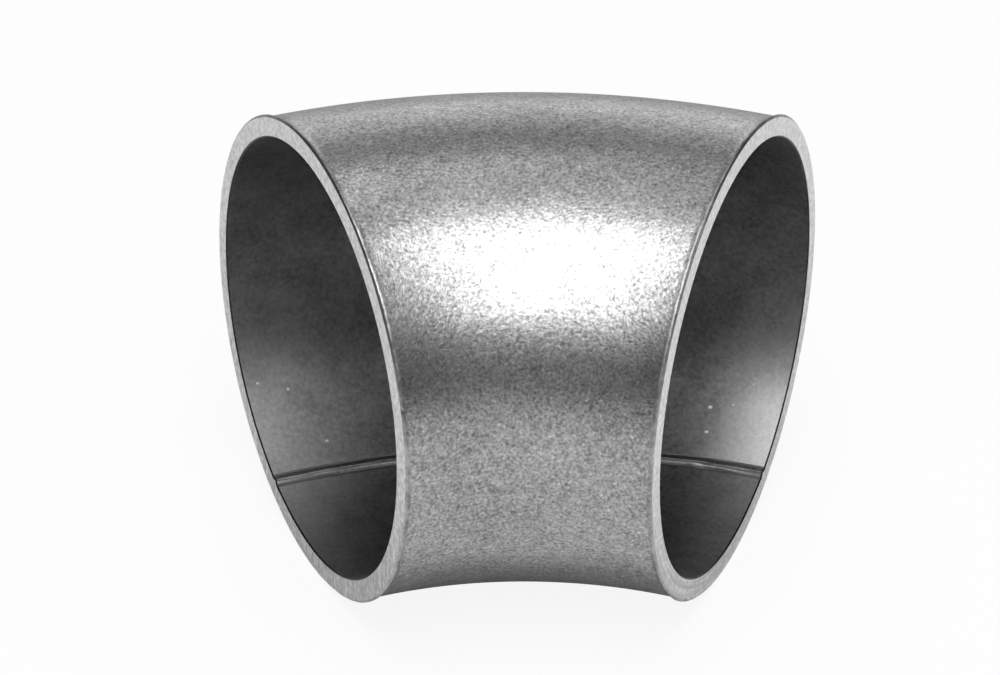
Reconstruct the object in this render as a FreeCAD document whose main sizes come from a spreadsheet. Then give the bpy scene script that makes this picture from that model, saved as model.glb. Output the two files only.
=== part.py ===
"""Weld elbow: a short 45 degree bend in thin stainless tube, with plain ends that are butt-welded to tube.

It is one piece. Welded tube was bent, cut square at both ends, and its edges were broken. The ends are a
little larger than the bend between them, so each has a short straight land and a taper. The tube's own weld
seam runs the length of the bore as a narrow bead with a toe groove on each side.

The bend lies flat: the bend's axis is upright (+Z), the tight inner curve faces -Y and the outer curve +Y.
The origin is the middle of the underside of the elbow's box. Lengths are in millimetres, angles in degrees.
"""
import FreeCAD, Part
import os

import Sketcher

# Driving dimensions: name, value, and what the value is
SIZES = (
    ("outside_diameter", 42.4, "outside diameter of each end, which is that of the tube it is welded to"),
    ("waist_depth", 0.25, "how far the bend's outside lies below that of the ends"),
    ("end_land", 0.6, "straight length at each end"),
    ("end_taper", 1.5, "length over which an end narrows to the waist"),
    ("wall", 2.0, "wall at the ends, as the mean of the inner and outer curve"),
    ("bore_offset", 0.16, "bore's centre from the tube's centre, because bending thins the outer curve"),
    ("bend_radius", 47.5, "bend axis to the tube's centre line"),
    ("bend_angle", 45.0, "angle that the elbow turns the flow through"),
    ("outer_edge_break", 0.2, "bevel on the outside edge of each end"),
    ("inner_edge_break", 0.15, "bevel on the bore's edge at each end"),
    ("seam_angle", 65.0, "weld seam from the outer curve, round to the underside"),
    ("bead_width", 0.9, "width of the bead on the bore"),
    ("bead_height", 0.2, "height of the bead above the bore"),
    ("bead_root", 0.5, "depth to which the bead's metal reaches in the wall"),
    ("toe_radius", 0.35, "radius of the groove along each toe of the bead"),
    ("toe_depth", 0.1, "depth of that groove in the wall"),
)

# Tolerance for finding an edge by its radius
SAME_RADIUS = 1e-4

# An end's taper is drawn this much longer than it shows, so that it runs out inside the bend's wall
TAPER_OVERRUN = 1.6


def make_sheet(doc):
    """Write the driving dimensions into a sheet, one row each, and name the cells."""
    sheet = doc.addObject("Spreadsheet::Sheet", "Sizes")
    for row, (name, value, meaning) in enumerate(SIZES, start=1):
        sheet.set("A%d" % row, name)
        sheet.set("B%d" % row, str(value))
        sheet.set("C%d" % row, meaning)
        sheet.setAlias("B%d" % row, name)
    doc.recompute()
    return sheet


def origin_feature(body, role):
    """Return the body's own origin plane or axis that has this role."""
    return next(feature for feature in body.Origin.OriginFeatures if feature.Role == role)


def new_sketch(body, name, plane):
    """Return an empty sketch on one of the body's own origin planes."""
    sketch = body.newObject("Sketcher::SketchObject", name)
    sketch.AttachmentSupport = [(origin_feature(body, plane), "")]
    sketch.MapMode = "FlatFace"
    return sketch


def new_section(body, name):
    """Return an empty sketch on the body's YZ plane: the middle cross-section of the bend."""
    return new_sketch(body, name, "YZ_Plane")


def bind(sketch, name, constraint, expression):
    """Add a constraint to a sketch, name it, and tie its value to the sheet."""
    index = sketch.addConstraint(constraint)
    sketch.renameConstraint(index, name)
    sketch.setExpression("Constraints.%s" % name, expression)


def turn_about_bend_axis(body, kind, name, sketch, angle):
    """Revolve a section about the upright bend axis, evenly to both sides of the middle section."""
    feature = body.newObject("PartDesign::%s" % kind, name)
    feature.Profile = sketch
    feature.ReferenceAxis = (origin_feature(body, "Z_Axis"), [""])
    feature.Midplane = True
    feature.setExpression("Angle", angle)
    sketch.Visibility = False
    return feature


def ring_edges(feature, radius):
    """Return the names of the round edges of this radius that bound the flat faces at the two ends."""
    rims = [
        edge
        for face in feature.Shape.Faces if isinstance(face.Surface, Part.Plane)
        for edge in face.Edges
        if isinstance(edge.Curve, Part.Circle) and abs(edge.Curve.Radius - radius) < SAME_RADIUS
    ]
    return [
        "Edge%d" % number
        for number, edge in enumerate(feature.Shape.Edges, start=1)
        if any(edge.isSame(rim) for rim in rims)
    ]


def break_edges(body, name, base, radius, size):
    """Bevel the round edges of this radius at both ends of the elbow."""
    bevel = body.newObject("PartDesign::Chamfer", name)
    bevel.Base = (base, ring_edges(base, radius))
    bevel.ChamferType = "Equal distance"
    bevel.setExpression("Size", size)
    return bevel


def draw_tube_section(body):
    """Draw the tube's cross-section: the outside circle, and the bore a little off its centre."""
    sketch = new_section(body, "tube_section")
    start = FreeCAD.Vector(1, 0, 0)
    up = FreeCAD.Vector(0, 0, 1)
    outside = sketch.addGeometry(Part.Circle(start, up, 2))
    bore = sketch.addGeometry(Part.Circle(start, up, 1))
    for circle in (outside, bore):
        sketch.addConstraint(Sketcher.Constraint("PointOnObject", circle, 3, -1))
    bind(sketch, "bend_radius", Sketcher.Constraint("DistanceX", -1, 1, outside, 3, 2), "Sizes.bend_radius")
    bind(sketch, "outside_radius", Sketcher.Constraint("Radius", outside, 2),
         "Sizes.outside_diameter / 2 - Sizes.waist_depth")
    bind(sketch, "bore_place", Sketcher.Constraint("DistanceX", -1, 1, bore, 3, 2),
         "Sizes.bend_radius + Sizes.bore_offset")
    bind(sketch, "bore_radius", Sketcher.Constraint("Radius", bore, 1),
         "Sizes.outside_diameter / 2 - Sizes.wall")
    return sketch


def draw_end(body, name, side, sizes):
    """Draw half of an end's outside in the bend's plane, from the face inwards: the land, then the taper.

    The sketch's origin is the centre of the end face and its horizontal axis is square to that face. The side
    is 1 for the right end and -1 for the left.
    """
    sketch = new_sketch(body, name, "XY_Plane")
    sketch.setExpression(
        "AttachmentOffset.Base.x", "%d * Sizes.bend_radius * sin(Sizes.bend_angle / 2)" % side)
    sketch.setExpression("AttachmentOffset.Base.y", "Sizes.bend_radius * cos(Sizes.bend_angle / 2)")
    sketch.setExpression("AttachmentOffset.Rotation.Angle", "%d * Sizes.bend_angle / 2" % -side)
    outside_radius = sizes.outside_diameter / 2
    root_radius = outside_radius - sizes.wall / 2
    reach = sizes.end_land + TAPER_OVERRUN * sizes.end_taper
    fall = TAPER_OVERRUN * sizes.waist_depth
    points = [
        FreeCAD.Vector(-side * depth, radius, 0)
        for depth, radius in (
            (0, root_radius), (0, outside_radius), (sizes.end_land, outside_radius),
            (reach, outside_radius - fall), (reach, root_radius),
        )
    ]
    lines = [
        sketch.addGeometry(Part.LineSegment(start, end))
        for start, end in zip(points, points[1:] + points[:1])
    ]
    face, land, taper, foot, root = lines
    for first, second in zip(lines, lines[1:] + lines[:1]):
        sketch.addConstraint(Sketcher.Constraint("Coincident", first, 2, second, 1))
    for line in (land, root):
        sketch.addConstraint(Sketcher.Constraint("Horizontal", line))
    for line in (face, foot):
        sketch.addConstraint(Sketcher.Constraint("Vertical", line))
    sketch.addConstraint(Sketcher.Constraint("PointOnObject", face, 1, -2))
    bind(sketch, "root_radius", Sketcher.Constraint("DistanceY", -1, 1, face, 1, root_radius),
         "Sizes.outside_diameter / 2 - Sizes.wall / 2")
    bind(sketch, "outside_radius", Sketcher.Constraint("DistanceY", -1, 1, face, 2, outside_radius),
         "Sizes.outside_diameter / 2")
    bind(sketch, "land", Sketcher.Constraint("DistanceX", land, 1, land, 2, -side * sizes.end_land),
         "%d * Sizes.end_land" % -side)
    bind(sketch, "taper_reach",
         Sketcher.Constraint("DistanceX", taper, 1, taper, 2, -side * (reach - sizes.end_land)),
         "%d * %s * Sizes.end_taper" % (-side, TAPER_OVERRUN))
    bind(sketch, "taper_fall", Sketcher.Constraint("DistanceY", taper, 2, taper, 1, fall),
         "%s * Sizes.waist_depth" % TAPER_OVERRUN)
    return sketch


def add_end(body, name, side, sizes):
    """Add an end to the bend: its land and taper, turned about the end's own axis."""
    sketch = draw_end(body, name + "_section", side, sizes)
    body.Document.recompute()
    feature = body.newObject("PartDesign::Revolution", name)
    feature.Profile = sketch
    feature.ReferenceAxis = (sketch, ["H_Axis"])
    feature.Angle = 360
    sketch.Visibility = False
    return feature


def stand_on_seam(sketch):
    """Move a section to the bore's centre and turn it until the seam is straight down in it."""
    sketch.setExpression("AttachmentOffset.Base.x", "Sizes.bend_radius + Sizes.bore_offset")
    sketch.setExpression("AttachmentOffset.Rotation.Angle", "90 - Sizes.seam_angle")


def draw_toe_grooves(body, bore_radius, sizes):
    """Draw the two round grooves, one centred on each toe of the bead."""
    sketch = new_section(body, "toe_groove_section")
    stand_on_seam(sketch)
    half = sizes.bead_width / 2
    up = FreeCAD.Vector(0, 0, 1)
    reach = bore_radius + sizes.toe_depth - sizes.toe_radius
    for side, name in ((-1, "near"), (1, "far")):
        centre = FreeCAD.Vector(side * half, -reach, 0)
        groove = sketch.addGeometry(Part.Circle(centre, up, sizes.toe_radius))
        spoke = sketch.addGeometry(Part.LineSegment(FreeCAD.Vector(0, 0, 0), centre), True)
        sketch.addConstraint(Sketcher.Constraint("Coincident", spoke, 1, -1, 1))
        sketch.addConstraint(Sketcher.Constraint("Coincident", spoke, 2, groove, 3))
        bind(sketch, name + "_radius", Sketcher.Constraint("Radius", groove, sizes.toe_radius),
             "Sizes.toe_radius")
        bind(sketch, name + "_reach", Sketcher.Constraint("Distance", spoke, reach),
             "Sizes.outside_diameter / 2 - Sizes.wall + Sizes.toe_depth - Sizes.toe_radius")
        bind(sketch, name + "_toe", Sketcher.Constraint("DistanceX", -1, 1, groove, 3, side * half),
             "%d * Sizes.bead_width / 2" % side)
    return sketch


def draw_bead(body, bore_radius, sizes):
    """Draw the bead: an arched crown that stands in the bore, on a root inside the wall."""
    sketch = new_section(body, "bead_section")
    stand_on_seam(sketch)
    half = sizes.bead_width / 2
    root = -bore_radius - sizes.bead_root
    left_toe = FreeCAD.Vector(-half, -bore_radius, 0)
    right_toe = FreeCAD.Vector(half, -bore_radius, 0)
    top = FreeCAD.Vector(0, sizes.bead_height - bore_radius, 0)
    left_root = FreeCAD.Vector(-half, root, 0)
    right_root = FreeCAD.Vector(half, root, 0)

    crown = sketch.addGeometry(Part.Arc(right_toe, top, left_toe))
    left = sketch.addGeometry(Part.LineSegment(left_toe, left_root))
    bottom = sketch.addGeometry(Part.LineSegment(left_root, right_root))
    right = sketch.addGeometry(Part.LineSegment(right_root, right_toe))
    peak = sketch.addGeometry(Part.Point(top), True)

    for first, first_end, second, second_end in (
        (crown, 2, left, 1), (left, 2, bottom, 1), (bottom, 2, right, 1), (right, 2, crown, 1),
    ):
        sketch.addConstraint(Sketcher.Constraint("Coincident", first, first_end, second, second_end))
    sketch.addConstraint(Sketcher.Constraint("Vertical", left))
    sketch.addConstraint(Sketcher.Constraint("Vertical", right))
    sketch.addConstraint(Sketcher.Constraint("Horizontal", bottom))
    sketch.addConstraint(Sketcher.Constraint("Symmetric", crown, 1, crown, 2, -2))
    sketch.addConstraint(Sketcher.Constraint("PointOnObject", peak, 1, -2))
    sketch.addConstraint(Sketcher.Constraint("PointOnObject", peak, 1, crown))
    bind(sketch, "width", Sketcher.Constraint("DistanceX", bottom, 1, bottom, 2, sizes.bead_width),
         "Sizes.bead_width")
    bind(sketch, "toe_level", Sketcher.Constraint("DistanceY", right, 2, -1, 1, bore_radius),
         "Sizes.outside_diameter / 2 - Sizes.wall")
    bind(sketch, "crown_height", Sketcher.Constraint("DistanceY", right, 2, peak, 1, sizes.bead_height),
         "Sizes.bead_height")
    bind(sketch, "root_depth", Sketcher.Constraint("DistanceY", right, 1, right, 2, sizes.bead_root),
         "Sizes.bead_root")
    return sketch


def make_elbow(doc, sizes):
    """Build the elbow: bent tube, its larger ends with bevelled edges, and the seam in its bore."""
    body = doc.addObject("PartDesign::Body", "elbow")
    body.Label = "elbow"
    outside_radius = sizes.outside_diameter / 2
    bore_radius = outside_radius - sizes.wall

    # Bent tube
    tube_section = draw_tube_section(body)
    doc.recompute()
    turn_about_bend_axis(body, "Revolution", "bent_tube", tube_section, "Sizes.bend_angle")
    doc.recompute()

    # Square-cut ends, with the edges outside and in the bore bevelled
    add_end(body, "left_end", -1, sizes)
    doc.recompute()
    right_end = add_end(body, "right_end", 1, sizes)
    doc.recompute()
    outer_break = break_edges(body, "outer_break", right_end, outside_radius, "Sizes.outer_edge_break")
    doc.recompute()
    break_edges(body, "inner_break", outer_break, bore_radius, "Sizes.inner_edge_break")
    doc.recompute()

    # Weld seam: grooves along the toes, then the bead, cut flush with both ends
    groove_section = draw_toe_grooves(body, bore_radius, sizes)
    doc.recompute()
    turn_about_bend_axis(body, "Groove", "toe_grooves", groove_section, "Sizes.bend_angle")
    doc.recompute()
    bead_section = draw_bead(body, bore_radius, sizes)
    doc.recompute()
    turn_about_bend_axis(body, "Revolution", "bead", bead_section, "Sizes.bend_angle")
    doc.recompute()

    # The box of the elbow runs from the bevels on the inner curve to the crest of the outer curve
    body.setExpression(
        "Placement.Base.y",
        "-(Sizes.bend_radius + Sizes.outside_diameter / 2 - Sizes.waist_depth"
        " + (Sizes.bend_radius - Sizes.outside_diameter / 2) * cos(Sizes.bend_angle / 2)"
        " + Sizes.outer_edge_break * sin(Sizes.bend_angle / 2)) / 2")
    body.setExpression("Placement.Base.z", "Sizes.outside_diameter / 2")
    doc.recompute()
    return body


def check(doc, bodies):
    """Stop if a feature has failed or a body isn't one valid solid."""
    for item in doc.Objects:
        if {"Invalid", "Error"} & set(item.State):
            raise RuntimeError("%s failed: %s" % (item.Name, item.State))
    for body in bodies:
        shape = body.Shape
        if shape.isNull() or not shape.isValid() or len(shape.Solids) != 1:
            raise RuntimeError("%s isn't one valid solid" % body.Label)


def main():
    """Build the document and write each body to its own file."""
    doc = FreeCAD.newDocument("weld_elbow")
    sizes = make_sheet(doc)
    bodies = [make_elbow(doc, sizes)]
    check(doc, bodies)
    os.makedirs("parts", exist_ok=True)
    for body in bodies:
        body.Shape.exportStep(os.path.join("parts", body.Label + ".step"))
        box = body.Shape.BoundBox
        print(body.Label, "volume %.1f mm3" % body.Shape.Volume,
              "box %.2f x %.2f x %.2f mm" % (box.XLength, box.YLength, box.ZLength),
              "from (%.2f, %.2f, %.2f)" % (box.XMin, box.YMin, box.ZMin))


main()
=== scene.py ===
"""Looks of a weld elbow: a short bend in thin stainless tube, lying on its side on a pale studio floor.

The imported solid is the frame. The elbow is one piece, so one closed mesh stands for it. The mesh has a
finish for each way in which its surfaces were made: blasted skin, drawn bore, weld bead, ground end, turned
end, bevels and worn edges. Sizes in the classes are millimetres and degrees, and Blender's objects are in
metres.
"""
import logging
import math
from dataclasses import dataclass
from enum import Enum
from typing import Any

import bpy
import numpy as np
from mathutils import Matrix, Vector

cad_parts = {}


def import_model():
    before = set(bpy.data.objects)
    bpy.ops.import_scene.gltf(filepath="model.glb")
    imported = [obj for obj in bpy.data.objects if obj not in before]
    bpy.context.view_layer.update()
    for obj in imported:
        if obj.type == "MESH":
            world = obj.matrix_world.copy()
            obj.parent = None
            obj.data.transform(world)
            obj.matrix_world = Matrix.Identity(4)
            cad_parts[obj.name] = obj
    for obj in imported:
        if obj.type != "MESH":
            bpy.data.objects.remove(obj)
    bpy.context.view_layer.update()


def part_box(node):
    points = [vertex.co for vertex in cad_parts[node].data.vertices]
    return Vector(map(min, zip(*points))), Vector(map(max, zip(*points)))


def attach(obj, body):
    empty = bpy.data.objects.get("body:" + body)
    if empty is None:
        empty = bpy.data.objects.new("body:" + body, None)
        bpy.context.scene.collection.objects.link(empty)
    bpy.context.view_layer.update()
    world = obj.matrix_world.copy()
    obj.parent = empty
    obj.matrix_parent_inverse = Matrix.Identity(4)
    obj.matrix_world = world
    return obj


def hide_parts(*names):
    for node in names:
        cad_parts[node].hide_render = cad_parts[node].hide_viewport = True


LOG = logging.getLogger("weld_elbow")

MM = 0.001
NODE = "elbow"
BODY = "root"
UV_MAP = "tube_mm"
NOISE_ROUGHNESS = 0.6
NOISE_MIDDLE = 0.5
MARK_CORE = 0.5

Array = np.ndarray
Colour = tuple[float, float, float, float]
Source = bpy.types.Node | bpy.types.NodeSocket
Tree = bpy.types.NodeTree


def linear(hex_colour: str) -> Colour:
    """Turn an sRGB hex colour into Blender's linear colour.

    Args:
        hex_colour: six hex digits after a hash sign, such as "#9c9c9b".

    Returns:
        Linear red, green and blue, and an alpha of one.
    """
    parts = [int(hex_colour[i:i + 2], 16) / 255 for i in (1, 3, 5)]
    red, green, blue = (p / 12.92 if p <= 0.04045 else ((p + 0.055) / 1.055) ** 2.4 for p in parts)
    return red, green, blue, 1.0


def grey(value: float) -> Colour:
    """Return a linear grey of this brightness."""
    return value, value, value, 1.0


def add_object(name: str, data: bpy.types.ID) -> bpy.types.Object:
    """Add an object with this data to the scene.

    Args:
        name: the object's name.
        data: its mesh, light or camera.

    Returns:
        The new object.
    """
    made = bpy.data.objects.new(name, data)
    bpy.context.scene.collection.objects.link(made)
    return made


def empty_tree(owner: bpy.types.Material | bpy.types.World) -> Tree:
    """Give a material or the world a node tree without nodes.

    Args:
        owner: the material or world.

    Returns:
        Its node tree.
    """
    owner.use_nodes = True
    owner.node_tree.nodes.clear()
    return owner.node_tree


def add_node(tree: Tree, kind: str, inputs: dict[Any, Any] | None = None, **settings: Any) -> bpy.types.Node:
    """Add a shader node, set its properties, and set or link its inputs.

    Args:
        tree: the node tree that gets the node.
        kind: the node's type without its first word, such as "Math".
        inputs: input name or number to a value, an output socket, or a node, meaning its first output.
        settings: properties of the node itself.

    Returns:
        The new node.
    """
    node = tree.nodes.new("ShaderNode" + kind)
    for name, value in settings.items():
        setattr(node, name, value)
    for name, value in (inputs or {}).items():
        source = value.outputs[0] if isinstance(value, bpy.types.Node) else value
        if isinstance(source, bpy.types.NodeSocket):
            tree.links.new(source, node.inputs[name])
        else:
            node.inputs[name].default_value = source
    return node


class Surface(Enum):
    """Kinds of surface on the elbow, in the order of the mesh's material slots."""

    SKIN = 0
    WORN_EDGE = 1
    BEVEL = 2
    GROUND_FACE = 3
    TURNED_FACE = 4
    BORE_EDGE = 5
    BORE = 6
    BEAD = 7


class End(Enum):
    """The elbow's two ends, by the sign of their angle along the bend."""

    LEFT = -1
    RIGHT = 1


@dataclass(frozen=True)
class Wave:
    """A sine wave of an uneven surface: its height, its rates round and along the surface, and its phase."""

    height: float
    rate: float
    along_rate: float = 0.0
    phase: float = 0.0


def add_waves(waves: tuple[Wave, ...], place: Array, along: Array | float = 0.0) -> Array:
    """Add up waves at these places round the surface and along it."""
    return sum(w.height * np.sin(w.rate * place + w.along_rate * along + w.phase) for w in waves)


def turn_from(angle: Array, degrees: float) -> Array:
    """Give how far places round the tube lie from one of them, in radians from minus pi to pi."""
    return (angle - math.radians(degrees) + math.pi) % (2 * math.pi) - math.pi


@dataclass(frozen=True)
class TubeSizes:
    """Sizes of the bent tube, in millimetres and degrees.

    Fields: waist_depth is how much slimmer in radius the bend is than its ends. swell is how much of that it
    gains back at swell_angle, on the side that faces the camera. bore_offset moves the bore away from the
    bend's axis. The breaks are the bevels of the ends' edges.
    """

    outside_diameter: float = 42.4
    waist_depth: float = 0.25
    swell: float = 0.23
    swell_angle: float = 148.0
    wall: float = 2.0
    bore_offset: float = 0.16
    bend_radius: float = 47.5
    bend_angle: float = 45.0
    outer_break: float = 0.2
    outer_break_depth: float = 0.13
    inner_break: float = 0.12

    @property
    def outside_radius(self) -> float:
        """Radius of the ends' outside."""
        return self.outside_diameter / 2

    def skin_radius(self, place: Array) -> Array:
        """Give the radius between the ends' lips at places round the tube, larger where the bend swells."""
        swollen = np.maximum(np.cos(place - math.radians(self.swell_angle)), 0)
        return self.outside_radius - self.waist_depth + self.swell * swollen

    @property
    def bore_radius(self) -> float:
        """Radius of the bore."""
        return self.outside_radius - self.wall

    @property
    def half_angle(self) -> float:
        """Half of the bend, in radians."""
        return math.radians(self.bend_angle / 2)


@dataclass(frozen=True)
class Knot:
    """A drop of weld metal on the bead.

    Fields: its place along the bend in degrees, its place across the bead, its radius and its height.
    """

    along: float
    across: float
    radius: float
    height: float


@dataclass(frozen=True)
class WeldSeam:
    """The weld seam along the bore: an arched bead between two rounded toe grooves, on a peaked tube.

    Fields: angle is its place at the left end, and drift is how far it has turned at the right end.
    """

    angle: float = -65.0
    drift: float = 2.2
    bead_width: float = 0.9
    bead_height: float = 0.15
    toe_radius: float = 0.35
    toe_depth: float = 0.05
    peak: float = 0.14
    peak_width: float = 2.0
    wander: float = 0.03
    unevenness: float = 0.12
    wander_waves: tuple[Wave, ...] = (Wave(1.0, 0.55, phase=0.7), Wave(0.6, 1.31, phase=2.1))
    height_waves: tuple[Wave, ...] = (Wave(1.0, 0.83, phase=1.9), Wave(0.7, 2.07))
    knots: tuple[Knot, ...] = (
        Knot(16.1, -0.32, 0.3, 0.12),
        Knot(-21.7, 0.22, 0.26, 0.06),
        Knot(3.5, -0.25, 0.25, 0.07),
        Knot(-9.0, 0.3, 0.3, 0.06),
    )

    @property
    def half_width(self) -> float:
        """Half of the bead's width."""
        return self.bead_width / 2

    @property
    def reach(self) -> float:
        """Distance from the seam's middle to the outer side of a toe groove."""
        return self.half_width + math.sqrt(self.toe_radius ** 2 - (self.toe_radius - self.toe_depth) ** 2)

    def turned(self, along: Array | float, half_angle: float) -> Array | float:
        """Give how far the seam has turned round the tube since the left end, in radians."""
        return math.radians(self.drift) * ((along / half_angle + 1) / 2) ** 2

    def rise(self, across: Array, along: Array, bend_radius: float) -> Array:
        """Give the height of the seam's surface above the plain bore.

        Args:
            across: distance from the seam's middle, round the bore.
            along: angle along the bend, in radians.
            bend_radius: radius that turns that angle into a length.

        Returns:
            Heights in millimetres, below zero in the grooves.
        """
        length = along * bend_radius
        x = across - self.wander * add_waves(self.wander_waves, length)
        swollen = 1 + self.unevenness * add_waves(self.height_waves, length)
        crown = self.bead_height * swollen * (1 - (x / self.half_width) ** 2)
        from_toe = np.clip(np.abs(x) - self.half_width, -self.toe_radius, self.toe_radius)
        groove = (self.toe_radius - self.toe_depth) - np.sqrt(self.toe_radius ** 2 - from_toe ** 2)
        height = np.where(np.abs(x) <= self.half_width, np.maximum(crown, groove), np.minimum(groove, 0))
        height = height - self.peak * np.exp(-np.abs(across) / self.peak_width)
        for knot in self.knots:
            apart = np.hypot(across - knot.across, length - math.radians(knot.along) * bend_radius)
            height = height + knot.height * np.exp(-((apart / knot.radius) ** 2) * 2)
        return height


@dataclass(frozen=True)
class Nick:
    """A small dent or burr in the outside edge of an end.

    Fields: the end, its place round the tube in degrees, its width along the edge, and how deep it goes in.
    """

    end: End
    angle: float
    width: float
    depth: float


@dataclass(frozen=True)
class EdgeWear:
    """Wear along the outside edge of each end, with a few nicks.

    Fields: band is the flat top of the lip beside the bevel, and flank is its slope down to the skin. The
    bevel's depth varies by the unevenness, and a nick cuts into the face by chip of its depth.
    """

    band: float = 0.07
    flank: float = 0.2
    rounding: float = 0.04
    unevenness: float = 0.035
    chip: float = 0.7
    waves: tuple[Wave, ...] = (
        Wave(0.5, 9.0, 1.3), Wave(0.4, 23.0, 2.6), Wave(0.3, 61.0, phase=0.4), Wave(0.25, 127.0, 3.9),
    )
    nicks: tuple[Nick, ...] = (
        Nick(End.RIGHT, 302.0, 0.9, 0.12),
        Nick(End.LEFT, 164.0, 0.5, -0.1),
        Nick(End.LEFT, 161.5, 0.35, 0.12),
        Nick(End.RIGHT, 238.0, 0.8, 0.1),
        Nick(End.LEFT, 139.0, 0.5, 0.07),
        Nick(End.RIGHT, 196.0, 0.4, 0.06),
    )

    def depth(self, end: End, angle: Array, radius: float) -> Array:
        """Give the extra depth of the bevel along the edge.

        Args:
            end: the end that the edge is on.
            angle: places round the tube, in radians.
            radius: the tube's outside radius.

        Returns:
            Depths in millimetres, added to the bevel's own.
        """
        extra = self.unevenness * add_waves(self.waves, angle, end.value)
        for nick in self.nicks:
            if nick.end is end:
                turn = turn_from(angle, nick.angle)
                extra = extra + nick.depth * np.exp(-((turn * radius / (nick.width / 2)) ** 2))
        return extra


@dataclass
class Row:
    """One ring of points round the tube.

    Fields: the points, their angle along the bend in radians, their distance from the bend's radius in the
    end plane, and the surface of the faces between this ring and the next.
    """

    points: Array
    along: Array
    radial: Array
    surface: Surface


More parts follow.
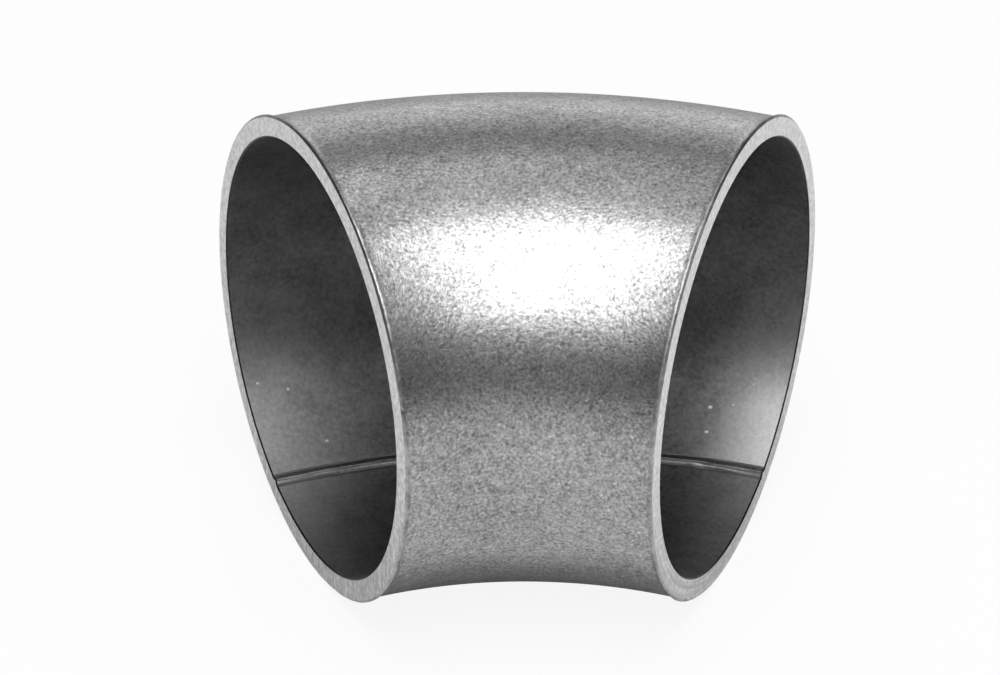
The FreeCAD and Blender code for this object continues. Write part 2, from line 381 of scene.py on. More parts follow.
@dataclass
class Elbow:
    """The elbow's mesh: rings of points that run over the skin, round each end and back through the bore.

    Fields: the steps are the columns' spacing in degrees at the seam, elsewhere, and on the side that the
    camera sees.
    """

    sizes: TubeSizes
    seam: WeldSeam
    wear: EdgeWear
    axis_y: float
    centre_z: float
    rows_along: int = 88
    face_rows: int = 5
    seam_step: float = 0.2
    plain_step: float = 1.0
    near_step: float = 0.5
    near_side: tuple[float, float] = (135.0, 245.0)
    waviness: float = 0.02
    bore_share: float = 0.5
    bore_turn: float = 1.1
    waves: tuple[Wave, ...] = (
        Wave(1.0, 3.0, 0.0, 0.6), Wave(1.0, 2.0, 9.0, 1.7), Wave(0.7, 5.0, -13.0, 0.3), Wave(0.5, 4.0, 21.0),
    )

    def angles(self) -> Array:
        """Give the angles of the columns round the tube, in radians, starting at the seam.

        Returns:
            Angles that rise through a full turn. They are closest at the seam, and closer on the near side
            than elsewhere.
        """
        start = self.seam.angle
        margin = 2 * self.seam.reach / self.sizes.bore_radius
        fine = math.degrees(margin)
        near, far = self.near_side
        spans = (
            (start, start + fine, self.seam_step),
            (start + fine, near, self.plain_step),
            (near, far, self.near_step),
            (far, start + 360 - fine, self.plain_step),
            (start + 360 - fine, start + 360, self.seam_step),
        )
        parts = [np.linspace(low, high, round((high - low) / step), endpoint=False)
                 for low, high, step in spans]
        return np.radians(np.concatenate(parts))

    def dip(self, angle: Array, along: Array, share: float) -> Array:
        """Give how far the surface dips below a true bend, at this share of the way between the ends."""
        most = sum(wave.height for wave in self.waves)
        fade = math.sin(math.pi * share) ** 0.5
        return fade * self.waviness * (1 + add_waves(self.waves, angle, along) / most) / 2

    def ring(self, angle: Array, along: Array, radius: Array, offset: float, surface: Surface) -> Row:
        """Make a ring of points on a bent tube.

        Args:
            angle: places round the tube at the left end, in radians. They turn with the seam.
            along: places along the bend, in radians.
            radius: distance from the section's centre.
            offset: distance of that centre from the tube's centre, away from the bend's axis.
            surface: the surface of the faces that follow.

        Returns:
            The ring.
        """
        turned = angle + self.seam.turned(along, self.sizes.half_angle)
        radial = offset + radius * np.cos(turned)
        reach = self.sizes.bend_radius + radial
        points = np.stack([
            reach * np.sin(along),
            self.axis_y + reach * np.cos(along),
            self.centre_z + radius * np.sin(turned),
        ], axis=1)
        return Row(points, along, radial, surface)

    def at_depth(self, end: End, angle: Array, depth: Array | float, radius: Array, offset: float,
                 surface: Surface) -> Row:
        """Make a ring of points at a depth behind an end face, as ring() does elsewhere."""
        reach = self.sizes.bend_radius + offset + radius * np.cos(self.at_end(end, angle))
        along = end.value * (self.sizes.half_angle - np.arcsin(depth / reach))
        return self.ring(angle, along, radius, offset, surface)

    def at_end(self, end: End, angle: Array) -> Array:
        """Give the true places round the tube of the columns at an end."""
        half_angle = self.sizes.half_angle
        return angle + self.seam.turned(end.value * half_angle, half_angle)

    def outside_rows(self, angle: Array) -> list[Row]:
        """Make the rings over the blasted skin, from the left end's lip to the right end's.

        Args:
            angle: places round the tube, in radians.

        Returns:
            The rings.
        """
        sizes = self.sizes
        limits = {}
        for end in End:
            place = self.at_end(end, angle)
            reach = sizes.bend_radius + sizes.skin_radius(place) * np.cos(place)
            limits[end] = end.value * (sizes.half_angle - np.arcsin(self.skin_depth(end, place) / reach))
        rows = []
        for step in range(self.rows_along + 1):
            share = step / self.rows_along
            along = limits[End.LEFT] * (1 - share) + limits[End.RIGHT] * share
            place = angle + self.seam.turned(along, sizes.half_angle)
            radius = sizes.skin_radius(place) - self.dip(angle, along, share)
            surface = Surface.SKIN if step < self.rows_along else Surface.WORN_EDGE
            rows.append(self.ring(angle, along, radius, 0.0, surface))
        return rows

    def skin_depth(self, end: End, angle: Array) -> Array:
        """Give the depth behind the end face at which the skin ends and the flank of the lip begins."""
        wear = self.wear
        return (self.sizes.outer_break_depth + wear.band + wear.flank
                + wear.depth(end, angle, self.sizes.outside_radius))

    def end_rows(self, end: End, angle: Array, bore: Array) -> list[Row]:
        """Make the rings over one end, from the skin to the bore.

        Args:
            end: the end.
            angle: places round the tube, in radians.
            bore: radius of the bore at the end, with the seam.

        Returns:
            Rings over the worn edge, the bevel, the end face and the bore's edge.
        """
        sizes = self.sizes
        outside = np.full_like(angle, sizes.outside_radius)
        wear = self.wear.depth(end, self.at_end(end, angle), sizes.outside_radius)
        face = Surface.GROUND_FACE if end is End.LEFT else Surface.TURNED_FACE
        drop = sizes.outer_break + np.maximum(wear, 0) * self.wear.chip
        rows = [
            self.at_depth(end, angle, sizes.outer_break_depth + wear + self.wear.band, outside, 0.0,
                          Surface.WORN_EDGE),
            self.at_depth(end, angle, sizes.outer_break_depth + wear, outside - self.wear.rounding, 0.0,
                          Surface.BEVEL),
        ]
        rim = self.at_depth(end, angle, 0.0, outside - drop, 0.0, face)
        lip = self.at_depth(end, angle, 0.0, bore + sizes.inner_break, sizes.bore_offset, Surface.BORE_EDGE)
        for step in range(self.face_rows):
            share = step / self.face_rows
            points = rim.points * (1 - share) + lip.points * share
            radial = rim.radial * (1 - share) + lip.radial * share
            rows.append(Row(points, rim.along, radial, face))
        rows.append(lip)
        return rows

    def bore_rows(self, angle: Array, across: Array) -> list[Row]:
        """Make the rings through the bore, from the right end to the left, with the seam raised on them.

        Args:
            angle: places round the tube, in radians.
            across: distance of each place from the seam's middle, round the bore.

        Returns:
            The rings.
        """
        sizes = self.sizes
        plain = np.full_like(angle, sizes.bore_radius)
        offset = sizes.bore_offset
        right = self.at_depth(End.RIGHT, angle, sizes.inner_break, plain, offset, Surface.BORE).along
        rows = []
        for step in range(self.rows_along + 1):
            share = step / self.rows_along
            along = right * (1 - 2 * share)
            rise = self.seam.rise(across, along, sizes.bend_radius)
            radius = plain - rise + self.bore_share * self.dip(angle + self.bore_turn, along, share)
            surface = Surface.BORE if step < self.rows_along else Surface.BORE_EDGE
            rows.append(self.ring(angle, along, radius, offset, surface))
        return rows

    def rows(self, angle: Array) -> list[Row]:
        """Make all rings, in an order that closes on itself.

        Args:
            angle: places round the tube, in radians.

        Returns:
            The rings over the skin, round the right end, through the bore and round the left end.
        """
        sizes = self.sizes
        across = turn_from(angle, self.seam.angle) * sizes.bore_radius
        bores = {
            end: sizes.bore_radius - self.seam.rise(
                across, np.full_like(angle, end.value * sizes.half_angle), sizes.bend_radius)
            for end in End
        }
        rows = self.outside_rows(angle)
        rows += self.end_rows(End.RIGHT, angle, bores[End.RIGHT])
        rows += self.bore_rows(angle, across)
        left = self.end_rows(End.LEFT, angle, bores[End.LEFT])
        left.reverse()
        # A ring's surface is that of the faces after it, and the left end is walked from the bore outwards
        surfaces = [row.surface for row in left[1:]] + [Surface.WORN_EDGE]
        for row, surface in zip(left, surfaces):
            row.surface = surface
        return rows + left

    def build(self, name: str) -> bpy.types.Object:
        """Build the mesh.

        Args:
            name: name of the new object.

        Returns:
            The object, in metres, with a UV map in millimetres and each face's material index set by its
            surface.
        """
        angle = self.angles()
        rows = self.rows(angle)
        count, width = len(rows), len(angle)
        points = np.concatenate([row.points for row in rows]) * MM
        first = np.arange(count)[:, None] * width
        after = (np.arange(count)[:, None] + 1) % count * width
        here = np.arange(width)[None, :]
        beside = (here + 1) % width
        quads = np.stack([first + here, after + here, after + beside, first + beside], axis=2)

        mesh = bpy.data.meshes.new(name)
        mesh.from_pydata(points.tolist(), [], quads.reshape(-1, 4).tolist())
        mesh.polygons.foreach_set("material_index", self.slots(rows, angle).ravel())
        mesh.uv_layers.new(name=UV_MAP).data.foreach_set("uv", self.uvs(rows, angle).ravel())
        mesh.shade_smooth()
        self.mark_corners(mesh, rows, width)
        mesh.validate()
        mesh.update()
        return add_object(name, mesh)

    def slots(self, rows: list[Row], angle: Array) -> Array:
        """Give the material slot of each face, with the bead's own slot along the seam.

        Args:
            rows: the rings.
            angle: places round the tube, in radians.

        Returns:
            Slot numbers, with a row for each ring.
        """
        slots = np.array([row.surface.value for row in rows], np.int32)[:, None].repeat(len(angle), axis=1)
        across = turn_from(angle, self.seam.angle) * self.sizes.bore_radius
        on_seam = np.abs(across) < self.seam.reach
        slots[(slots == Surface.BORE.value) & on_seam[None, :]] = Surface.BEAD.value
        return slots

    def uvs(self, rows: list[Row], angle: Array) -> Array:
        """Give each face corner its place in millimetres.

        Args:
            rows: the rings.
            angle: places round the tube, in radians.

        Returns:
            On the tube, the lengths round it and along it. On the ends, the place in the end plane from the
            tube's centre, away from the bend's axis and up.
        """
        sizes = self.sizes
        count, width = len(rows), len(angle)
        along = np.stack([row.along for row in rows]) * sizes.bend_radius
        radial = np.stack([row.radial for row in rows])
        level = np.stack([row.points[:, 2] - self.centre_z for row in rows])
        unrolled = np.append(angle, angle[0] + 2 * math.pi) * sizes.outside_radius
        flat = np.array([row.surface in (Surface.GROUND_FACE, Surface.TURNED_FACE) for row in rows])
        uv = np.zeros((count, width, 4, 2), np.float32)
        corners = ((0, 0), (1, 0), (1, 1), (0, 1))
        for corner, (down, over) in enumerate(corners):
            row = (np.arange(count) + down) % count
            column = (np.arange(width) + over) % width
            pick = np.ix_(row, column)
            round_it = np.broadcast_to(unrolled[over:width + over], (count, width))
            uv[:, :, corner, 0] = np.where(flat[:, None], radial[pick], round_it)
            uv[:, :, corner, 1] = np.where(flat[:, None], level[pick], along[pick])
        return uv

    @staticmethod
    def mark_corners(mesh: bpy.types.Mesh, rows: list[Row], width: int) -> None:
        """Mark as sharp the rings where a bevel meets the end face or the bore.

        Args:
            mesh: the elbow's mesh.
            rows: the rings.
            width: number of points in a ring.
        """
        count = len(rows)
        flat = (Surface.GROUND_FACE, Surface.TURNED_FACE)
        sharp = np.array([
            (rows[i].surface is not rows[i - 1].surface)
            and (rows[i].surface in flat or rows[i - 1].surface in flat
                 or Surface.BORE in (rows[i].surface, rows[i - 1].surface))
            for i in range(count)
        ])
        ends = np.zeros(len(mesh.edges) * 2, np.int32)
        mesh.edges.foreach_get("vertices", ends)
        row_of = ends.reshape(-1, 2) // width
        marked = (row_of[:, 0] == row_of[:, 1]) & sharp[row_of[:, 0]]
        mesh.edges.foreach_set("use_edge_sharp", marked)


@dataclass(frozen=True)
class Mark:
    """A scratch or speck: its middle in degrees along the bend and round it, its size, and its slant."""

    along: float
    angle: float
    length: float
    width: float
    slant: float = 0.0


@dataclass(frozen=True)
class Layer:
    """A layer of noise: the size of its cells in millimetres, its detail, and its share of the tone."""

    cell: float
    detail: float
    share: float


@dataclass
class Pattern:
    """What a finish's pattern gives to its shader.

    Fields: the tone from dark to light, the relief as heights with their depths in millimetres, and the
    share of steel that is rubbed bare.
    """

    tone: Source
    relief: tuple[tuple[Source, float], ...]
    bare: Source | float = 0.0


@dataclass(frozen=True)
class Finish:
    """A metal finish: two tones of the steel, a third where it is rubbed bare, and roughness by tone.

    Fields: contrast is half of the range of the layers' sum, round its middle, that becomes dark to light.
    relief is the depth of each layer in millimetres.
    """

    name: str
    dark: str
    light: str
    roughness: tuple[float, float]
    bare: str = "#e4e4e4"
    layers: tuple[Layer, ...] = ()
    contrast: float = 0.15
    relief: tuple[float, ...] = ()

    def material(self) -> bpy.types.Material:
        """Make the material from the finish's pattern.

        Returns:
            The material.
        """
        made = bpy.data.materials.new(self.name)
        tree = empty_tree(made)
        pattern = self.pattern(tree)
        steel = add_node(tree, "Mix", {
            "Factor": pattern.tone, "A": linear(self.dark), "B": linear(self.light),
        }, data_type="RGBA")
        colour = add_node(tree, "Mix", {
            "Factor": pattern.bare, "A": steel.outputs["Result"], "B": linear(self.bare),
        }, data_type="RGBA")
        in_dark, in_light = self.roughness
        rough = add_node(tree, "MapRange", {"Value": pattern.tone, "To Min": in_dark, "To Max": in_light})
        normal = add_node(tree, "NewGeometry").outputs["Normal"]
        for height, depth in pattern.relief:
            normal = add_node(tree, "Bump", {"Height": height, "Distance": depth * MM, "Normal": normal})
        shader = add_node(tree, "BsdfPrincipled", {
            "Base Color": colour.outputs["Result"], "Metallic": 1.0, "Roughness": rough, "Normal": normal,
        })
        add_node(tree, "OutputMaterial", {"Surface": shader})
        return made

    def pattern(self, tree: Tree) -> Pattern:
        """Build the finish's pattern, from the node tree of its material."""
        raise NotImplementedError

    @staticmethod
    def unrolled(tree: Tree) -> Source:
        """Give the place on the unrolled tube, or in the end plane, in millimetres."""
        return add_node(tree, "UVMap", uv_map=UV_MAP)

    def blend(self, tree: Tree) -> tuple[Source, list[Source]]:
        """Add up the layers of noise, read at the place on the object in millimetres, into one tone.

        Args:
            tree: the node tree.

        Returns:
            The tone from nought to one, and the separate noises.
        """
        on_object = add_node(tree, "TexCoord").outputs["Object"]
        place = add_node(tree, "VectorMath", {0: on_object, "Scale": 1 / MM}, operation="SCALE")
        total: Source | float = 0.0
        noises = []
        for layer in self.layers:
            noise = add_node(tree, "TexNoise", {
                "Vector": place, "Scale": 1 / layer.cell, "Detail": layer.detail,
                "Roughness": NOISE_ROUGHNESS,
            })
            total = add_node(tree, "Math", {0: noise, 1: layer.share, 2: total}, operation="MULTIPLY_ADD")
            noises.append(noise)
        middle = sum(layer.share for layer in self.layers) / 2
        tone = add_node(tree, "MapRange", {
            "Value": total, "From Min": middle - self.contrast, "From Max": middle + self.contrast,
        })
        return tone, noises

    @staticmethod
    def marks(tree: Tree, marks: tuple[Mark, ...]) -> Source | float:
        """Draw marks on the unrolled tube, with soft edges.

        Args:
            tree: the node tree.
            marks: the marks.

        Returns:
            One inside a mark and nought outside.
        """
        sizes, seam = TubeSizes(), WeldSeam()
        place = Finish.unrolled(tree)
        total: Source | float = 0.0
        for mark in marks:
            turned = math.degrees(seam.turned(math.radians(mark.along), sizes.half_angle))
            turn = (mark.angle - turned - seam.angle) % 360 + seam.angle
            round_it = math.radians(turn) * sizes.outside_radius
            along = math.radians(mark.along) * sizes.bend_radius
            local = add_node(tree, "Mapping", {
                "Vector": place, "Location": (round_it, along, 0.0),
                "Rotation": (0.0, 0.0, math.radians(mark.slant)),
                "Scale": (mark.length / 2, mark.width / 2, 1.0),
            }, vector_type="TEXTURE")
            apart = add_node(tree, "VectorMath", {0: local}, operation="LENGTH")
            inside = add_node(tree, "MapRange", {
                "Value": apart.outputs["Value"], "From Min": 1.0, "From Max": MARK_CORE,
            })
            total = add_node(tree, "Math", {0: total, 1: inside}, operation="MAXIMUM")
        return total


@dataclass(frozen=True)
class BlastedSkin(Finish):
    """Stainless steel, blasted with grit after bending: satin grey, salted with light and dark grains.

    Blasting leaves pits of 0.05 to 0.1 mm, finer than a pixel, so the finest grain is drawn at 0.26 mm.
    """

    layers: tuple[Layer, ...] = (Layer(0.26, 1.0, 0.6), Layer(0.9, 2.0, 0.24), Layer(8.0, 3.0, 0.16))
    contrast: float = 0.19
    relief: tuple[float, ...] = (0.014, 0.022)
    salt: tuple[float, float] = (0.68, 0.8)
    salt_share: float = 0.7
    scratches: tuple[Mark, ...] = (
        Mark(20.9, 92.9, 1.6, 0.09, 62.0),
        Mark(-16.4, 93.3, 1.2, 0.09, -48.0),
        Mark(-1.5, 210.5, 1.3, 0.09, 40.0),
        Mark(2.6, 208.5, 0.9, 0.09, -52.0),
        Mark(12.4, 161.4, 0.6, 0.09, 75.0),
        Mark(-8.0, 108.0, 0.9, 0.09, 35.0),
        Mark(7.5, 12.0, 1.8, 0.09, -30.0),
        Mark(-12.0, 335.0, 1.4, 0.09, 55.0),
        Mark(3.0, 300.0, 1.1, 0.09, -65.0),
        Mark(-5.0, 40.0, 1.3, 0.09, 20.0),
        Mark(15.0, 262.0, 1.5, 0.09, 48.0),
    )

    def pattern(self, tree: Tree) -> Pattern:
        """Add grains, clumps and clouds, and scratches that bare brighter steel.

        Args:
            tree: the material's node tree.

        Returns:
            The pattern, bare in its scratches and lightest grains.
        """
        tone, noises = self.blend(tree)
        low, high = self.salt
        salt = add_node(tree, "MapRange", {
            "Value": noises[0], "From Min": low, "From Max": high, "To Max": self.salt_share,
        })
        bare = add_node(tree, "Math", {0: self.marks(tree, self.scratches), 1: salt}, operation="MAXIMUM")
        return Pattern(tone, tuple(zip(noises, self.relief)), bare)


@dataclass(frozen=True)
class BrightPatch:
    """Painted light on the bore near an end, where light comes in: the bore's colour is lifted towards its
    bare colour.

    Fields: the end, how far it reaches in, the angles round the tube at which it has faded and at which it
    is full, and its share of the bare colour.
    """

    end: End
    reach: float
    faded: float
    full: float
    share: float

    def build(self, tree: Tree, place: Source) -> Source:
        """Build the patch.

        Args:
            tree: the node tree.
            place: place on the unrolled tube, in millimetres.

        Returns:
            The patch's share of bare steel there.
        """
        sizes = TubeSizes()
        rim = self.end.value * sizes.half_angle * sizes.bend_radius
        split = add_node(tree, "SeparateXYZ", {0: place})
        inwards = add_node(tree, "MapRange", {
            "Value": split.outputs["Y"], "From Min": rim - self.end.value * self.reach, "From Max": rim,
            "To Max": self.share,
        }, interpolation_type="SMOOTHSTEP")
        round_it = add_node(tree, "MapRange", {
            "Value": split.outputs["X"], "From Min": math.radians(self.faded) * sizes.outside_radius,
            "From Max": math.radians(self.full) * sizes.outside_radius,
        }, interpolation_type="SMOOTHSTEP")
        return add_node(tree, "Math", {0: inwards, 1: round_it}, operation="MULTIPLY")


@dataclass(frozen=True)
class DrawnBore(Finish):
    """Stainless steel, drawn over a mandrel and pickled: darker than the skin and cloudy, with painted light
    near its ends.

    A pickled grain is finer than 0.1 mm, less than a pixel, so it is drawn at 0.4 mm.
    """

    layers: tuple[Layer, ...] = (Layer(0.4, 2.0, 0.4), Layer(2.4, 3.0, 0.35), Layer(9.0, 2.0, 0.25))
    relief: tuple[float, ...] = (0.012, 0.02)
    patchiness: float = 0.35
    patches: tuple[BrightPatch, ...] = (
        BrightPatch(End.RIGHT, 6.5, -4.0, -50.0, 1.0),
        BrightPatch(End.RIGHT, 6.0, 240.0, 285.0, 0.3),
        BrightPatch(End.LEFT, 9.0, 0.0, -40.0, 0.35),
        BrightPatch(End.LEFT, 8.0, 240.0, 285.0, 0.45),
    )
    specks: tuple[Mark, ...] = (
        Mark(-18.99, 319.3, 0.35, 0.3),
        Mark(-16.75, 303.6, 0.4, 0.35),
        Mark(-21.4, 322.4, 0.35, 0.3),
        Mark(16.57, 305.9, 0.42, 0.4),
        Mark(16.45, 312.8, 0.45, 0.4),
        Mark(18.32, 314.4, 0.3, 0.25),
        Mark(19.66, 320.8, 0.35, 0.3),
    )

    def pattern(self, tree: Tree) -> Pattern:
        """Add fine grain and clouds, patches of painted light at the ends, and bright specks.

        Args:
            tree: the material's node tree.

        Returns:
            The pattern, bare in its patches and specks.
        """
        tone, noises = self.blend(tree)
        bare = self.marks(tree, self.specks)
        place = self.unrolled(tree)
        cloudy = add_node(tree, "Math", {
            0: tone, 1: self.patchiness, 2: 1 - self.patchiness,
        }, operation="MULTIPLY_ADD")
        # Painted light: each patch lifts the bore's colour towards the bare colour near an end
        for patch in self.patches:
            rubbed = add_node(tree, "Math", {0: patch.build(tree, place), 1: cloudy}, operation="MULTIPLY")
            bare = add_node(tree, "Math", {0: bare, 1: rubbed}, operation="MAXIMUM")
        return Pattern(tone, tuple(zip(noises, self.relief)), bare)


@dataclass(frozen=True)
class CutFace(Finish):
    """Stainless steel, freshly cut: bright, with tool marks that are straight or go round the tube's centre.

    The marks show from clear_level downwards, and are full at marked_level. Real ones are 0.05 to 0.1 mm
    apart, finer than a pixel, so they are drawn 0.2 mm wide.
    """

    round_marks: bool = False
    mark_width: float = 0.2
    mark_length: float = 4.0
    round_cells: float = 2.5
    slant: float = 4.0
    clear_level: float = 6.0
    marked_level: float = -16.0
    mark_contrast: float = 0.2
    mark_depth: float = 0.012
    mark_share: float = 0.7
    layers: tuple[Layer, ...] = (Layer(0.45, 2.0, 1.0),)
    contrast: float = 0.32

    def pattern(self, tree: Tree) -> Pattern:
        """Add the tool marks, which fade out towards the top of the end, over a light mottle.

        Args:
            tree: the material's node tree.

        Returns:
            The pattern, bare nowhere.
        """
        place = self.unrolled(tree)
        if self.round_marks:
            apart = add_node(tree, "VectorMath", {0: place}, operation="LENGTH").outputs["Value"]
            apart = add_node(tree, "Math", {0: apart, 1: self.mark_width}, operation="DIVIDE")
            turn = add_node(tree, "VectorMath", {0: place}, operation="NORMALIZE")
            turn = add_node(tree, "VectorMath", {0: turn, "Scale": self.round_cells}, operation="SCALE")
            across: dict[Any, Any] = {"Vector": turn, "W": apart}
            dimensions = "4D"
        else:
            stretched = add_node(tree, "Mapping", {
                "Vector": place, "Rotation": (0.0, 0.0, math.radians(self.slant)),
                "Scale": (1 / self.mark_width, 1 / self.mark_length, 1.0),
            })
            across = {"Vector": stretched}
            dimensions = "3D"
        marks = add_node(tree, "TexNoise", {
            "Scale": 1.0, "Detail": 1.0, **across,
        }, noise_dimensions=dimensions)
        level = add_node(tree, "SeparateXYZ", {0: place}).outputs["Y"]
        strength = add_node(tree, "MapRange", {
            "Value": level, "From Min": self.clear_level, "From Max": self.marked_level,
            "To Max": self.mark_share,
        }, interpolation_type="SMOOTHSTEP")
        marks = add_node(tree, "MapRange", {
            "Value": marks, "From Min": NOISE_MIDDLE - self.mark_contrast,
            "From Max": NOISE_MIDDLE + self.mark_contrast,
        })
        cut = add_node(tree, "Math", {0: marks, 1: strength}, operation="MULTIPLY")
        grain, _ = self.blend(tree)
        tone = add_node(tree, "Math", {0: grain, 1: cut}, operation="SUBTRACT")
        return Pattern(tone, ((cut, self.mark_depth),))


@dataclass(frozen=True)
class FiledEdge(Finish):
    """Stainless steel, filed or rubbed: short uneven facets with a grain of their own."""

    layers: tuple[Layer, ...] = (Layer(0.35, 2.0, 0.5), Layer(1.6, 1.0, 0.5))
    relief: tuple[float, ...] = (0.015, 0.0)

    def pattern(self, tree: Tree) -> Pattern:
        """Add the uneven grain."""
        tone, noises = self.blend(tree)
        return Pattern(tone, tuple(zip(noises, self.relief)))


@dataclass(frozen=True)
class WeldBead(Finish):
    """Stainless weld metal, pickled: a smooth bead with faint arched ripples and a painted shade line along
    each toe.

    Fields: the toes' painted shade lines lie within toe_line of the bead's sides and wobble by toe_wobble.
    The crest is a painted highlight, a light streak beside the bead's middle.
    """

    layers: tuple[Layer, ...] = (Layer(0.4, 1.0, 0.4), Layer(1.6, 2.0, 0.6))
    contrast: float = 0.22
    relief: tuple[float, ...] = (0.006, 0.01)
    ripple: float = 0.42
    arch: float = 0.8
    ripple_height: float = 0.002
    toe_line: float = 0.06
    toe_wobble: float = 0.24
    crest: float = -0.2
    crest_width: float = 0.16
    crest_share: float = 1.8

    def pattern(self, tree: Tree) -> Pattern:
        """Add mottling, painted shade as a dark line along each toe, and ripples that arch over the bead and
        vary along it.

        Args:
            tree: the material's node tree.

        Returns:
            The pattern, bare along its crest as a painted highlight.
        """
        sizes, seam = TubeSizes(), WeldSeam()
        tone, noises = self.blend(tree)
        place = add_node(tree, "SeparateXYZ", {0: self.unrolled(tree)})
        middle = math.radians(seam.angle) * sizes.outside_radius
        turn = 2 * math.pi * sizes.outside_radius
        across = add_node(tree, "Math", {0: place.outputs["X"], 1: middle}, operation="SUBTRACT")
        across = add_node(tree, "Math", {0: across, 1: turn / 2, 2: -turn / 2}, operation="WRAP")
        side = add_node(tree, "Math", {0: across}, operation="ABSOLUTE")
        side = add_node(tree, "Math", {0: noises[1], 1: self.toe_wobble, 2: side}, operation="MULTIPLY_ADD")
        # Painted shade: outside the toes' lines the bead's tone goes dark, along the grooves
        toe = seam.half_width + self.toe_line + self.toe_wobble / 2
        bead = add_node(tree, "MapRange", {
            "Value": side, "From Min": toe + self.toe_line, "From Max": toe - self.toe_line,
        })
        tone = add_node(tree, "Math", {0: tone, 1: bead}, operation="MULTIPLY")
        arch = add_node(tree, "Math", {0: across, 1: across}, operation="MULTIPLY")
        arched = add_node(tree, "Math", {
            0: arch, 1: self.arch, 2: place.outputs["Y"],
        }, operation="MULTIPLY_ADD")
        uneven = add_node(tree, "Math", {0: noises[1], 1: arched}, operation="ADD")
        phase = add_node(tree, "Math", {0: uneven, 1: 2 * math.pi / self.ripple}, operation="MULTIPLY")
        ripple = add_node(tree, "Math", {0: phase}, operation="SINE")
        # Painted highlight: a light streak of bare colour beside the bead's middle, along its crest
        from_crest = add_node(tree, "Math", {0: across, 1: self.crest}, operation="SUBTRACT")
        from_crest = add_node(tree, "Math", {0: from_crest}, operation="ABSOLUTE")
        crest = add_node(tree, "MapRange", {
            "Value": from_crest, "From Min": self.crest_width, "From Max": 0.0, "To Max": self.crest_share,
        })
        bare = add_node(tree, "Math", {0: crest, 1: noises[1]}, operation="MULTIPLY")
        return Pattern(tone, (*zip(noises, self.relief), (ripple, self.ripple_height / 2)), bare)


FINISHES: dict[Surface, Finish] = {
    # Blasting roughens the whole skin alike, so highlights spread wide and their rims break up into grains
    Surface.SKIN: BlastedSkin("stainless_blasted", "#6a6a6a", "#cacaca", (0.36, 0.31)),
    # Handling rubs the lip beside each end, which leaves an uneven line, a little darker than the skin
    Surface.WORN_EDGE: FiledEdge("stainless_worn_edge", "#747474", "#b4b4b4", (0.44, 0.4)),
    # A file takes off the burr: the bevel is a thin grey line round the bright end face
    Surface.BEVEL: FiledEdge("stainless_filed_bevel", "#8c8c8c", "#b8b8b8", (0.4, 0.36)),
    # A grinding disc leaves the left face bright, with straight streaks low down
    Surface.GROUND_FACE: CutFace("stainless_ground_end", "#a4a4a4", "#f0f0f0", (0.4, 0.34)),
    # A lathe leaves the right face a shade brighter, with streaks that go round it
    Surface.TURNED_FACE: CutFace("stainless_turned_end", "#b4b4b4", "#f6f6f6", (0.38, 0.34),
                                 round_marks=True),
    # The bore's edge is painted near black, a painted shade that draws a dark line between face and bore
    Surface.BORE_EDGE: FiledEdge("stainless_bore_edge_painted_shade", "#242424", "#404040", (0.42, 0.36)),
    # Drawing and pickling leave the bore dull and cloudy; near its ends the colour is painted brighter, as
    # painted light coming in at the ends
    Surface.BORE: DrawnBore("stainless_drawn_bore", "#5c5c5c", "#9c9c9c", (0.46, 0.4), "#fafafa"),
    # Metal that has melted sets smooth; a painted highlight runs along the bead's crest, and painted shade
    # darkens its toes
    Surface.BEAD: WeldBead("stainless_weld_bead", "#707070", "#b8b8b8", (0.42, 0.34)),
}


@dataclass(frozen=True)
class SoftBox:
    """A rectangular lamp that shines on the elbow.

    Fields: its name, its direction as degrees from the horizon behind the elbow, up and over towards the
    camera, how far it is to the right as a share of the way, its distance, width and height in metres, and
    its radiance, where one is white.
    """

    name: str
    angle: float
    aside: float
    distance: float
    width: float
    height: float
    radiance: float

    def build(self, target: Vector) -> None:
        """Hang the lamp.

        Args:
            target: the place that it is turned to, in metres.
        """
        angle = math.radians(self.angle)
        level = math.sqrt(1 - self.aside ** 2)
        towards = Vector((self.aside, level * math.cos(angle), level * math.sin(angle)))
        light = bpy.data.lights.new(self.name, "AREA")
        light.shape = "RECTANGLE"
        light.size, light.size_y = self.width, self.height
        light.energy = self.radiance * math.pi * self.width * self.height
        lamp = add_object(self.name, light)
        lamp.location = target + towards * self.distance
        lamp.rotation_mode = "QUATERNION"
        lamp.rotation_quaternion = (-towards).to_track_quat("-Z", "Y")
        lamp.visible_camera = False


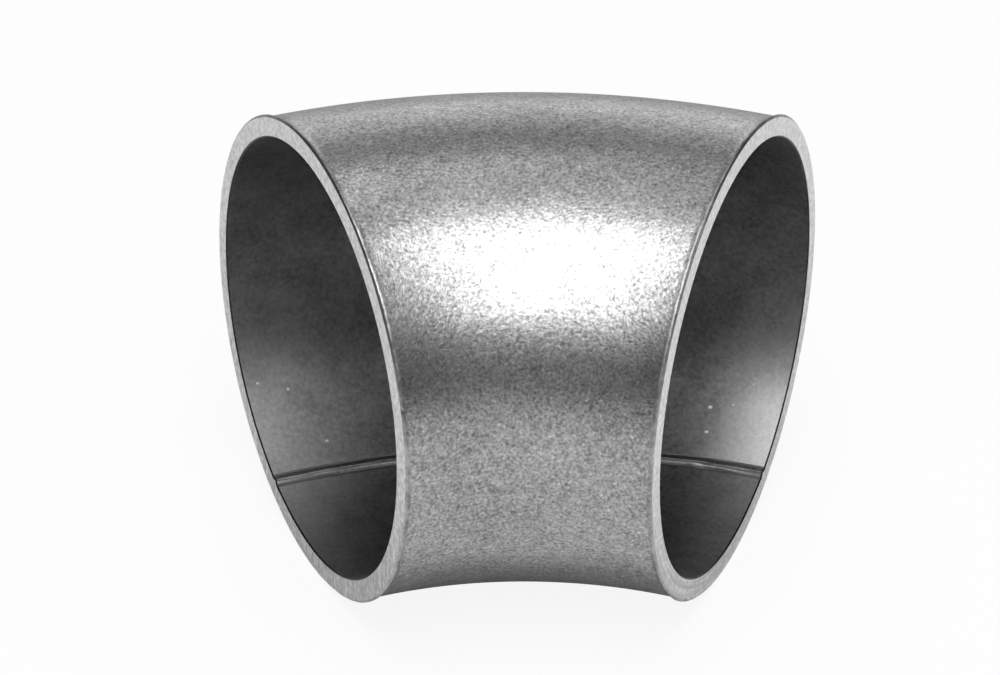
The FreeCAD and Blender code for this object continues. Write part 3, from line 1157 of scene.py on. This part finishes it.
@dataclass(frozen=True)
class Surroundings:
    """Walls of the studio: a pale one behind the elbow, and dark ones beside it and behind the camera."""

    # Degrees from the horizon behind the elbow, up and over, and the brightness there
    over: tuple[tuple[float, float], ...] = (
        (0.0, 1.35), (15.0, 1.25), (28.0, 0.7), (38.0, 0.12), (46.0, 0.15), (56.0, 0.75), (68.0, 0.7),
        (90.0, 0.5), (140.0, 0.4), (156.0, 0.14), (180.0, 0.2),
    )
    bright_aside: float = 0.3
    dark_aside: float = 0.62
    side_brightness: float = 0.04

    def build(self) -> None:
        """Set the world: white to the camera, and the walls to everything else."""
        world = bpy.data.worlds.new("studio_walls")
        bpy.context.scene.world = world
        tree = empty_tree(world)
        direction = add_node(tree, "TexCoord")
        split = add_node(tree, "SeparateXYZ", {0: direction.outputs["Generated"]})
        angle = add_node(tree, "Math", {0: split.outputs["Z"], 1: split.outputs["Y"]}, operation="ARCTAN2")
        share = add_node(tree, "MapRange", {"Value": angle, "From Min": 0.0, "From Max": math.pi})
        ramp = add_node(tree, "ValToRGB", {0: share})
        stops = ramp.color_ramp.elements
        while len(stops) < len(self.over):
            stops.new(0.5)
        for stop, (degrees, brightness) in zip(stops, self.over):
            stop.position = degrees / 180
            stop.color = grey(brightness)
        aside = add_node(tree, "Math", {0: split.outputs["X"]}, operation="ABSOLUTE")
        middle = add_node(tree, "MapRange", {
            "Value": aside, "From Min": self.bright_aside, "From Max": self.dark_aside, "To Min": 1.0,
            "To Max": self.side_brightness,
        }, interpolation_type="SMOOTHSTEP")
        walls = add_node(tree, "Background", {"Color": ramp, "Strength": middle})
        white = add_node(tree, "Background", {"Color": grey(1.0), "Strength": 1.0})
        path = add_node(tree, "LightPath")
        mixed = add_node(tree, "MixShader", {0: path.outputs["Is Camera Ray"], 1: walls, 2: white})
        add_node(tree, "OutputWorld", {"Surface": mixed})


@dataclass(frozen=True)
class Floor:
    """A large matt white board, nearly pure white to the camera and still darkened by the elbow's shadow.

    Fields: side is in metres. glow is the share of plain white in what the camera sees, so that the floor
    meets the white background. The shade under the bend, where little light gets in, is painted shade: the
    board's colour is darkened there, and only mirrored rays see it. It starts shade_start outside the tube's
    inner side and is full shade_fade further out, and it ends between the two shade_ends, in degrees along
    the bend.
    """

    side: float = 6.0
    colour: str = "#f4f4f4"
    glow: float = 0.9
    glow_in_mirrors: float = 0.05
    shade_start: float = 1.5
    shade_fade: float = 5.0
    shade_ends: tuple[float, float] = (24.0, 18.0)
    shade_depth: float = 0.5
    shade_colour: str = "#303030"

    def under(self, tree: Tree, middle: Vector, sizes: TubeSizes) -> Source:
        """Give how deep a place on the floor lies in the painted shade right under the bend.

        Args:
            tree: the node tree.
            middle: middle of the tube's section halfway round the bend, in metres.
            sizes: the tube's sizes.

        Returns:
            Nought outside the painted shade, up to the shade's depth inside it.
        """
        place = add_node(tree, "TexCoord").outputs["Object"]
        axis = (middle.x, middle.y - sizes.bend_radius * MM, 0.0)
        apart = add_node(tree, "VectorMath", {0: place, 1: axis}, operation="SUBTRACT")
        split = add_node(tree, "SeparateXYZ", {0: apart})
        flat = add_node(tree, "CombineXYZ", {"X": split.outputs["X"], "Y": split.outputs["Y"]})
        away = add_node(tree, "VectorMath", {0: flat}, operation="LENGTH").outputs["Value"]
        start = sizes.bend_radius - sizes.outside_radius + self.shade_start
        behind = add_node(tree, "MapRange", {
            "Value": away, "From Min": start * MM, "From Max": (start + self.shade_fade) * MM,
            "To Max": self.shade_depth,
        }, interpolation_type="SMOOTHSTEP")
        turn = add_node(tree, "Math", {0: split.outputs["X"], 1: split.outputs["Y"]}, operation="ARCTAN2")
        turn = add_node(tree, "Math", {0: turn}, operation="ABSOLUTE")
        none, full = (math.radians(a) for a in self.shade_ends)
        between = add_node(tree, "MapRange", {"Value": turn, "From Min": none, "From Max": full})
        return add_node(tree, "Math", {0: behind, 1: between}, operation="MULTIPLY")

    def build(self, level: float, middle: Vector, sizes: TubeSizes) -> None:
        """Lay the floor below the elbow.

        Args:
            level: the floor's height, in metres.
            middle: middle of the tube's section halfway round the bend, in metres.
            sizes: the tube's sizes.
        """
        half = self.side / 2
        mesh = bpy.data.meshes.new("floor")
        corners = [(-half, -half, level), (half, -half, level), (half, half, level), (-half, half, level)]
        mesh.from_pydata(corners, [], [(0, 1, 2, 3)])
        floor = add_object("floor", mesh)
        material = bpy.data.materials.new("matt_white_board")
        mesh.materials.append(material)
        tree = empty_tree(material)
        white = add_node(tree, "Emission", {"Color": grey(1.0), "Strength": 1.0})
        path = add_node(tree, "LightPath")
        under = self.under(tree, middle, sizes)
        # Painted shade: under the bend the board's colour darkens, for mirrored rays only
        shade = add_node(tree, "Math", {0: under, 1: path.outputs["Is Glossy Ray"]}, operation="MULTIPLY")
        paint = add_node(tree, "Mix", {
            "Factor": shade, "A": linear(self.colour), "B": linear(self.shade_colour),
        }, data_type="RGBA")
        board = add_node(tree, "BsdfDiffuse", {"Color": paint.outputs["Result"]})
        seen = add_node(tree, "Math", {
            0: path.outputs["Is Camera Ray"], 1: path.outputs["Is Transmission Ray"],
        }, operation="MAXIMUM")
        seen = add_node(tree, "Math", {0: seen, 1: self.glow}, operation="MULTIPLY")
        share = add_node(tree, "Math", {
            0: path.outputs["Is Glossy Ray"], 1: self.glow_in_mirrors, 2: seen,
        }, operation="MULTIPLY_ADD")
        mixed = add_node(tree, "MixShader", {0: share, 1: board, 2: white})
        add_node(tree, "OutputMaterial", {"Surface": mixed})


@dataclass(frozen=True)
class Studio:
    """The floor, the walls and the lamps."""

    floor: Floor = Floor()
    walls: Surroundings = Surroundings()
    lamps: tuple[SoftBox, ...] = (
        SoftBox("overhead_box", 115.0, -0.03, 1.0, 0.68, 0.82, 4.8),
        SoftBox("back_card", 59.0, 0.24, 1.0, 0.3, 0.26, 1.3),
        SoftBox("side_card", 120.0, 0.8, 1.0, 0.4, 0.5, 1.2),
    )

    def build(self, floor_level: float, target: Vector, sizes: TubeSizes) -> None:
        """Build the studio.

        Args:
            floor_level: height of the surface that the elbow lies on, in metres.
            target: middle of the elbow, which the lamps are turned to.
            sizes: the tube's sizes.
        """
        self.floor.build(floor_level, target, sizes)
        self.walls.build()
        for lamp in self.lamps:
            lamp.build(target)


@dataclass(frozen=True)
class PhotoCamera:
    """The photograph's camera: a long lens, above the elbow's tight side, aimed near the elbow's middle."""

    aim: tuple[float, float, float] = (-1.878, 0.0, -0.066)
    distance: float = 475.74
    azimuth: float = 1.702
    elevation: float = 32.067
    roll: float = 0.822
    lens: float = 199.97
    sensor: float = 36.0
    clip: tuple[float, float] = (10.0, 20000.0)

    def place(self, middle: Vector) -> bpy.types.Object:
        """Make the camera.

        Args:
            middle: middle of the tube's section halfway round the bend, in metres.

        Returns:
            The camera, set as the scene's own.
        """
        aim = middle + Vector(self.aim) * MM
        azimuth, elevation, roll = (math.radians(a) for a in (self.azimuth, self.elevation, self.roll))
        forward = Vector((math.sin(azimuth) * math.cos(elevation), math.cos(azimuth) * math.cos(elevation),
                          -math.sin(elevation)))
        level = forward.cross(Vector((0, 0, 1))).normalized()
        upright = level.cross(forward)
        right = level * math.cos(roll) + upright * math.sin(roll)
        up = right.cross(forward)
        turned = Matrix((right, up, -forward)).transposed()
        data = bpy.data.cameras.new("photo_camera")
        data.sensor_width = self.sensor
        data.lens = self.lens
        data.clip_start, data.clip_end = (c * MM for c in self.clip)
        camera = add_object("photo_camera", data)
        camera.matrix_world = Matrix.Translation(aim - forward * self.distance * MM) @ turned.to_4x4()
        bpy.context.scene.camera = camera
        return camera


def main() -> None:
    """Load the frame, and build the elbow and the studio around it."""
    logging.basicConfig(level=logging.INFO, format="%(name)s: %(message)s")
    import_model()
    low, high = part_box(NODE)

    sizes = TubeSizes(outside_diameter=(high.z - low.z) / MM)
    axis_y = high.y / MM - sizes.bend_radius - sizes.outside_radius + sizes.waist_depth
    centre_z = low.z / MM + sizes.outside_radius
    elbow = Elbow(sizes, WeldSeam(), EdgeWear(), axis_y, centre_z)
    piece = elbow.build("weld_elbow")
    for surface in Surface:
        piece.data.materials.append(FINISHES[surface].material())
    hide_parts(NODE)
    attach(piece, BODY)
    LOG.info("%s: %d faces, %d finishes", piece.name, len(piece.data.polygons), len(piece.data.materials))

    middle = Vector((0.0, axis_y + sizes.bend_radius, centre_z)) * MM
    Studio().build(low.z, middle, sizes)
    camera = PhotoCamera().place(middle)
    LOG.info("%s at %s", camera.name, tuple(round(c, 4) for c in camera.location))

    bpy.context.scene.view_settings.view_transform = "Standard"


if __name__ == "__main__":
    main()
